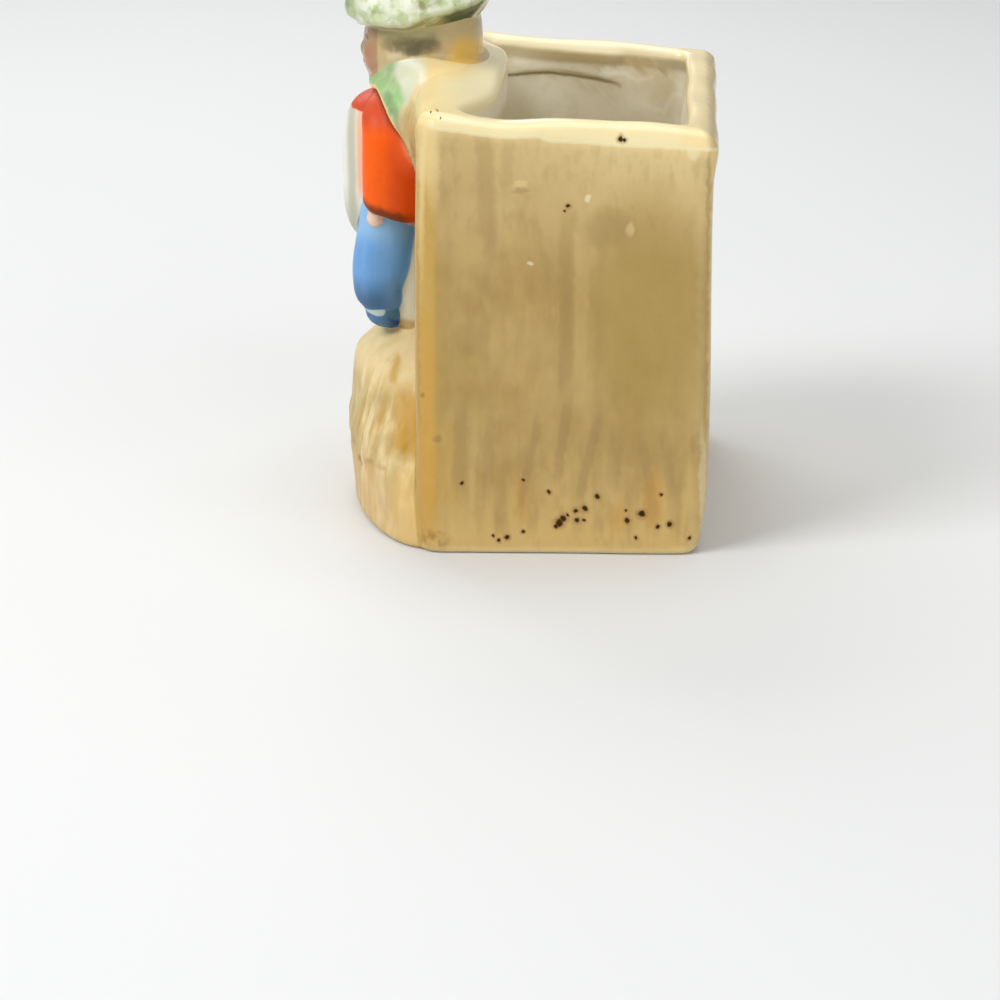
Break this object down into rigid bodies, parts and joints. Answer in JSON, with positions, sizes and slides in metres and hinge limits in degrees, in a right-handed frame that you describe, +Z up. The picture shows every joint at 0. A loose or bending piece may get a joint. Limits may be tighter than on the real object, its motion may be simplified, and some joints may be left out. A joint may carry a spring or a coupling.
{
  "type": "figural planter",
  "caption": "Glazed ceramic box planter, open at the top, with a standing child in a rolled-brim hat in half relief on a carved mound against its front wall.",
  "frame": {"origin": "middle of the box's footprint, on the surface that the planter stands on", "axes": "+Z up; -Y is the way the child on the front wall faces; +X is to the child's left"},
  "size_m": [0.1032, 0.0866, 0.1354],
  "materials": {
    "glazed_body": "glossy lustre glaze, hand painted"
  },
  "bodies": {
    "root": {"figural_planter": "glazed_body"}
  },
  "joints": []
}
